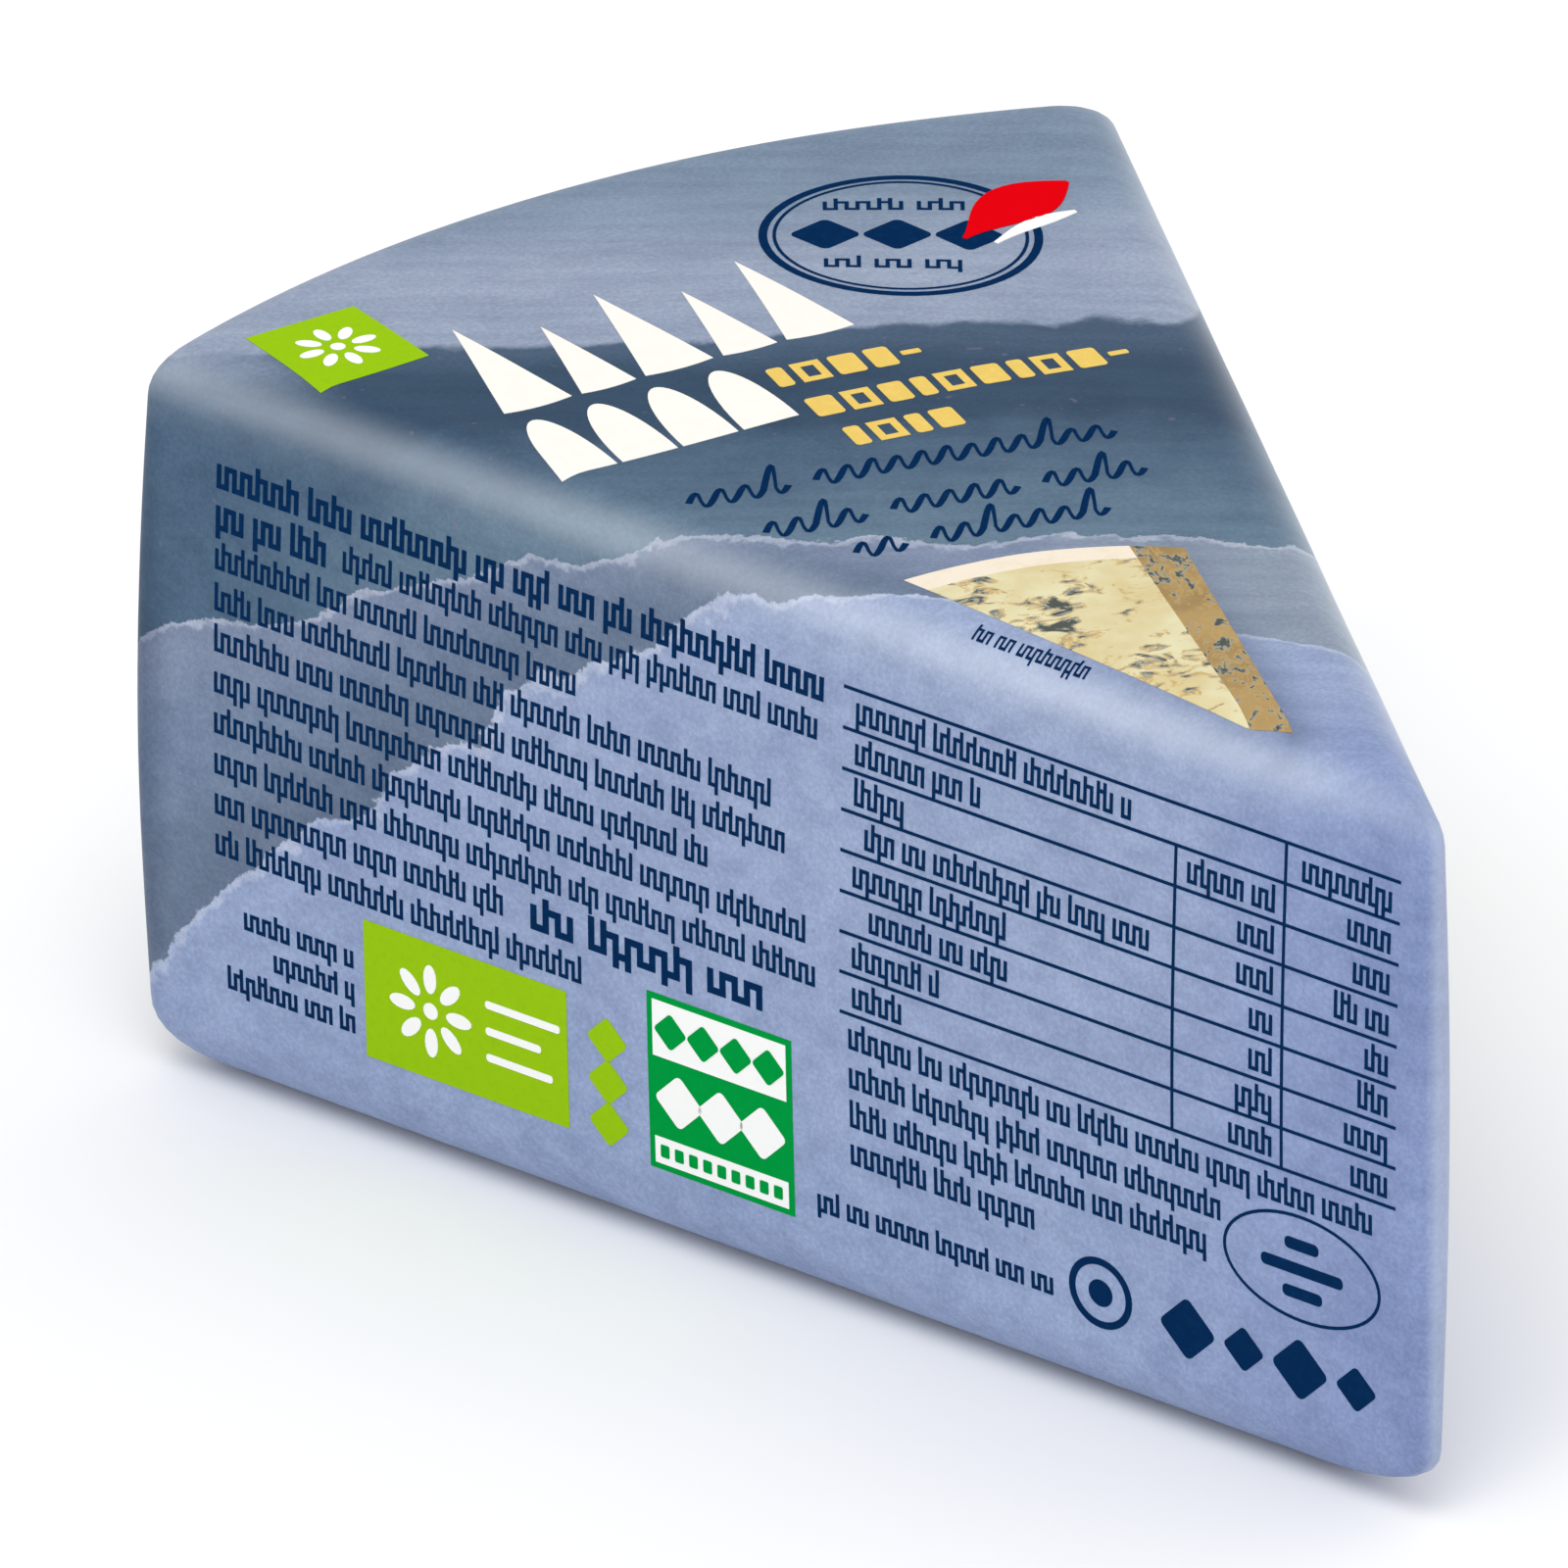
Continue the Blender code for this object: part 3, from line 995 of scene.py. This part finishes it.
def script_lines(mesh):
    dice = random.Random(22)
    for left, level, words in ((-16.4, 6.2, (4, 12)), (-14.6, 0.8, (4, 5, 4)), (-11.6, -4.0, (2, 7))):
        corners = []
        start = left
        for waves in words:
            corners += script_word(mesh, start, level, waves, dice)
            start += (waves + 1.1) * PEN_PITCH
        turned(mesh, corners, (left, level), SCRIPT_TURN)


def stamp(mesh):
    """A round stamp: two rings with plain rows inside."""
    dice = random.Random(23)
    ring(mesh, STAMP_MIDDLE, 8.1, 7.6, sides=72)
    ring(mesh, STAMP_MIDDLE, 7.3, 7.1, sides=72)
    x, y = STAMP_MIDDLE
    corners = filler_line(mesh, x - 4.4, y + 4.0, 8.8, dice, height=1.15, stroke=0.24, pitch=0.62)
    for i in range(3):
        corners += lozenge(mesh, (x - 4.3 + 4.1 * i, y + 0.1), 2.95)
    corners += filler_line(mesh, x - 4.4, y - 3.8, 8.8, dice, height=1.15, stroke=0.24, pitch=0.62)
    turned(mesh, corners, STAMP_MIDDLE, STAMP_TURN)


def brush_stroke(mesh, start, end, bend, width):
    """A plain stroke of a brush that is pressed down slowly and lifted fast."""
    bow = Vector((-0.3, 1.0, 0)) * bend
    path, widths = [], []
    for i in range(BRUSH_STEPS + 1):
        share = i / BRUSH_STEPS
        path.append(start.lerp(end, share) + bow * math.sin(math.pi * share))
        widths.append(0.3 + width * math.sin(math.pi * share**1.35))
    ribbon(mesh, path, widths)


def red_stroke(mesh):
    brush_stroke(mesh, Vector((14.3, 26.4, 0)), Vector((23.4, 30.0, 0)), 0.5, 4.0)


def white_stroke(mesh):
    """A thin stroke under the red one."""
    brush_stroke(mesh, Vector((15.6, 25.1, 0)), Vector((21.8, 26.5, 0)), 0.4, 0.8)


def slanted(corners):
    """Slants the pictured slice, as it is seen from one side."""
    for corner in corners:
        corner.co.y += SLICE_SLANT * (corner.co.x - SLICE_TIP[0])


def slice_paste(mesh):
    slanted(sector(mesh, SLICE_TIP, SLICE_RADIUS - SLICE_RIND, SLICE_START, SLICE_SWEEP))


def slice_rind(mesh):
    inside = SLICE_RADIUS - SLICE_RIND
    slanted(sector(mesh, SLICE_TIP, SLICE_RADIUS, SLICE_START, SLICE_SWEEP, inner=inside))


def slice_edge(degrees):
    """The two ends of one of the pictured slice's straight edges: its tip, and its end at the rind."""
    turn = math.radians(degrees)
    tip = Vector((*SLICE_TIP, 0))
    reach = SLICE_RADIUS * math.cos(turn)
    return tip, tip + Vector((reach, SLICE_RADIUS * math.sin(turn) + SLICE_SLANT * reach, 0))


def slice_side(mesh):
    """The slice's cut side, seen at a slant beside its right edge."""
    near, far = slice_edge(SLICE_START)
    corners = bmesh.ops.create_grid(mesh, x_segments=1, y_segments=1, size=1)["verts"]
    for corner in corners:
        start, drop = (near, TIP_DROP) if corner.co.x < 0 else (far, RIND_DROP)
        corner.co = start + (drop if corner.co.y < 0 else Vector((0, 0, 0)))


def caption(mesh):
    """A tiny line beside the picture."""
    dice = random.Random(24)
    corners = filler_line(mesh, *CAPTION_START, 8.6, dice, height=0.7, stroke=0.14, pitch=0.34)
    turned(mesh, corners, CAPTION_START, 110)


def picture_shade(spot):
    """How dark the picture's printed shadow is at a spot on the top: strongest beside the slice's tip."""
    if spot.z < HEIGHT - TOP_EDGE_RADIUS:
        return 0.0
    place = Vector((spot.x / MM, spot.y / MM, 0))
    tip, right_end = slice_edge(SLICE_START)
    tip, left_end = slice_edge(SLICE_START + SLICE_SWEEP)

    # Beside each edge: how dark the shadow is, how fast it fades along the edge, and how far it reaches
    depths = []
    for start, end, depth, fading, reach in (
        (tip + TIP_DROP, right_end + RIND_DROP, SHADE_DEPTH, 0.6, SHADE_REACH),
        (tip, left_end, 0.6 * SHADE_DEPTH, 1.4, 0.8 * SHADE_REACH),
    ):
        share = max(0, min(1, (place - start).dot(end - start) / (end - start).length_squared))
        gap = (place - start.lerp(end, share)).length
        depths.append(depth * max(0, 1 - fading * share) * max(0, 1 - gap / reach)**2)
    return max(depths)


def far_side_text(mesh):
    """Small print on the right cut side, which the photograph doesn't show."""
    dice = random.Random(31)
    left, first_level, lower_level = 12.0, 38.4, 19.4
    bold_line(mesh, left, first_level, 30.0, dice)
    for i, length in enumerate((46.0, 52.5, 49.0, 51.0, 38.0)):
        filler_line(mesh, left, first_level - LINE_PITCH * (i + 1), length, dice)
    for i, length in enumerate((34.0, 36.5, 33.0, 21.0)):
        filler_line(mesh, left, lower_level - LINE_PITCH * i, length, dice)


def far_side_lime(mesh):
    block(mesh, 66.5, 8.0, 15.0, 8.1)


def far_side_white(mesh):
    flower(mesh, (74.0, 12.05), 3.2)


def back_text(mesh):
    """Small print low on the round back."""
    dice = random.Random(32)
    for i, length in enumerate((30.0, 33.5, 31.0, 18.0)):
        filler_line(mesh, -17.0, 18.0 - LINE_PITCH * i, length, dice)


def back_title(mesh):
    wedge_row(mesh, -13.3, 25.5, 4.45, 7)


def folded_flap(name, inset, level, cuts, material):
    """A flap of the wrapper folded under the pack. Each cut takes away what its plane faces."""
    mesh = bmesh.new()
    bmesh.ops.edgeloop_fill(mesh, edges=add_ring(mesh, inset, level))
    for place, facing in cuts:
        parts = mesh.verts[:] + mesh.edges[:] + mesh.faces[:]
        bmesh.ops.bisect_plane(
            mesh, geom=parts, dist=1e-7, plane_co=place, plane_no=facing, clear_outer=True)
    made = bmesh.ops.extrude_face_region(mesh, geom=mesh.faces[:])["geom"]
    raised = [part for part in made if isinstance(part, bmesh.types.BMVert)]
    bmesh.ops.translate(mesh, verts=raised, vec=(0, 0, UNDERSIDE + PAPER - level))
    return finish_piece(name, mesh, material)


def fold_flaps(material):
    """Three flaps under the pack: the left one, the right one over it, and the back one over both."""
    slant = Vector((1, -0.12, 0)).normalized()
    back = Vector((0, 1, 0))
    meet = Vector((-2 * MM, 0, 0))
    back_line = Vector((0, 24 * MM, 0))
    left_cuts = [(meet, slant), (back_line, back)]
    right_cuts = [(meet, -slant), (back_line, back)]
    folded_flap("left_flap", 4.3 * MM, 2 * PAPER, left_cuts, material)
    folded_flap("right_flap", 4.1 * MM, PAPER, right_cuts, material)
    folded_flap("back_flap", 3.9 * MM, 0, [(back_line, -back)], material)


def print_left_side(inks):
    printed("side_small_print", inks["navy"], on_left_side, side_text, pitch=None)
    printed("side_table_print", inks["navy"], on_left_side, table_text, pitch=None)
    printed("side_table_rules", inks["navy"], on_left_side, table_rules)
    printed("side_plain_marks", inks["navy"], on_left_side, plain_marks)
    printed("side_lime_fields", inks["lime"], on_left_side, side_lime)
    printed("side_white_shapes", inks["white"], on_left_side, side_white, lift=2 * INK_LIFT)
    printed("side_green_panel", inks["green"], on_left_side, green_panel)
    printed("panel_white_shapes", inks["white"], on_left_side, panel_white, lift=2 * INK_LIFT)
    printed("panel_green_marks", inks["green"], on_left_side, panel_green_marks, lift=3 * INK_LIFT)


def print_top(inks):
    printed("top_lime_field", inks["lime"], on_top, top_lime, pitch=FOLD_PITCH)
    printed("top_white_flower", inks["white"], on_top, top_white, lift=2 * INK_LIFT)
    printed("title_shapes", inks["cream"], on_top, title_shapes, pitch=FOLD_PITCH)
    printed("product_lines", inks["gold"], on_top, product_lines)
    printed("script_lines", inks["navy"], on_top, script_lines, pitch=None)
    printed("round_stamp", inks["navy"], on_top, stamp)
    printed("red_stroke", inks["red"], on_top, red_stroke, lift=2 * INK_LIFT)
    printed("white_stroke", inks["white"], on_top, white_stroke, lift=2 * INK_LIFT)
    printed("slice_caption", inks["navy"], on_top, caption, pitch=None)

    paste = printed_cheese("printed_cheese_paste", "#D6D0AA", "#CBBB8A", 0.085, -20, 1.1, 0.6)
    cut = printed_cheese("printed_cheese_cut_side", "#A68B59", "#8F764B", 0.13, 70, 0.75, 0.3)
    rind = ink("printed_cheese_rind", "#E4D9C8", "#D9C6A6", 0.8, 1.6)
    printed("slice_paste", paste, on_top, slice_paste, pitch=FOLD_PITCH)
    printed("slice_rind", rind, on_top, slice_rind, pitch=FOLD_PITCH)
    printed("slice_cut_side", cut, on_top, slice_side, pitch=FOLD_PITCH)


def print_hidden_faces(inks):
    printed("far_small_print", inks["navy"], on_right_side, far_side_text, pitch=None)
    printed("far_lime_field", inks["lime"], on_right_side, far_side_lime)
    printed("far_white_flower", inks["white"], on_right_side, far_side_white, lift=2 * INK_LIFT)
    printed("back_small_print", inks["navy"], on_back, back_text, pitch=None)
    printed("back_title_shapes", inks["cream"], on_back, back_title)


def white_sweep():
    """A roll of matt white paper: an even white without a gleam."""
    material, tree, shader, spot = new_material("matt_white_paper_sweep")
    clouds = add(tree, "ShaderNodeTexNoise", {"Vector": spot, "Scale": 1 / 60.0})
    colour = wash(tree, clouds.outputs["Fac"], 0.2, 0.8, "#F3F3F4", "#F6F6F6")
    tree.links.new(colour, shader.inputs["Base Color"])
    shader.inputs["Roughness"].default_value = 0.9
    shader.inputs["Specular IOR Level"].default_value = 0.1
    return material


def studio():
    """A pale floor, an even pale room, and soft lights above, in front, overhead and on the right."""
    mesh = bmesh.new()
    bmesh.ops.create_grid(mesh, x_segments=1, y_segments=1, size=4.0)
    data = bpy.data.meshes.new("floor")
    mesh.to_mesh(data)
    mesh.free()
    data.materials.append(white_sweep())
    floor = bpy.data.objects.new("floor", data)
    bpy.context.scene.collection.objects.link(floor)

    world = bpy.data.worlds.new("pale_room")
    world.use_nodes = True
    room = world.node_tree.nodes["Background"].inputs
    room["Color"].default_value = linear("#FFFFFF")
    room["Strength"].default_value = 0.85
    bpy.context.scene.world = world

    for name, way, distance, side, watts in (
        ("key_light", (-0.35, -0.35, 0.87), 1.1, 0.6, 4.2),
        ("front_fill", (-0.80, -0.50, 0.32), 1.4, 0.9, 1.3),
        ("overhead", (0.15, 0.25, 0.95), 1.3, 1.0, 1.2),
        ("side_rim", (0.95, 0.10, 0.30), 1.4, 0.9, 2.2),
    ):
        lamp = bpy.data.lights.new(name, "AREA")
        lamp.shape = "SQUARE"
        lamp.size = side
        lamp.energy = watts
        light = bpy.data.objects.new(name, lamp)
        bpy.context.scene.collection.objects.link(light)
        towards = Vector(way).normalized()
        light.location = towards * distance + Vector((0, 0, HEIGHT / 2))
        light.rotation_euler = towards.to_track_quat("Z", "Y").to_euler()
        light.visible_camera = False


def photo_camera():
    """A long lens far away, as the photograph's nearly parallel edges need."""
    back = Vector((
        math.sin(CAMERA_AZIMUTH) * math.cos(CAMERA_ELEVATION),
        -math.cos(CAMERA_AZIMUTH) * math.cos(CAMERA_ELEVATION),
        math.sin(CAMERA_ELEVATION),
    ))
    turn = back.to_track_quat("Z", "Y")
    right = turn @ Vector((1, 0, 0))
    up = turn @ Vector((0, 1, 0))
    lens = bpy.data.cameras.new("photo_camera")
    lens.sensor_width = SENSOR
    lens.lens = SENSOR * PHOTO_SCALE * CAMERA_DISTANCE / PHOTO_SIDE
    lens.clip_start = 0.1
    lens.clip_end = 100
    camera = bpy.data.objects.new("photo_camera", lens)
    camera.rotation_euler = turn.to_euler()
    camera.location = right * AIM_RIGHT + up * AIM_UP + back * CAMERA_DISTANCE
    bpy.context.scene.collection.objects.link(camera)
    bpy.context.scene.camera = camera


bpy.context.scene.view_settings.view_transform = "Standard"

paper = printed_paper()
wrapper_mesh = wrapper_shell()
wrapper_tree = BVHTree.FromBMesh(wrapper_mesh)
wrapper = finish_piece("printed_wrapper", wrapper_mesh, paper)
wrapper.data.shade_smooth()
shade = wrapper.data.attributes.new("picture_shadow", "FLOAT", "POINT")
shade.data.foreach_set("value", [picture_shade(corner.co) for corner in wrapper.data.vertices])
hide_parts("cheese_pack")
fold_flaps(paper)

inks = {
    "navy": ink("navy_ink", NAVY, "#123A66", 0.35, 0.6),
    "cream": ink("cream_ink", CREAM, "#EFE3D6", 0.6, 0.9),
    "gold": ink("gold_ink", GOLD, "#EFCF7C", 0.5, 0.7),
    "lime": ink("lime_ink", LIME, "#80B01E", 0.6, 0.5),
    "green": ink("deep_green_ink", DEEP_GREEN, "#139444", 0.5, 0.5),
    "white": ink("white_ink", WHITE, "#E9EDE6", 0.5, 0.6),
    "red": ink("red_ink", RED, "#D60914", 0.5, 0.6),
}
print_left_side(inks)
print_top(inks)
print_hidden_faces(inks)
studio()
photo_camera()
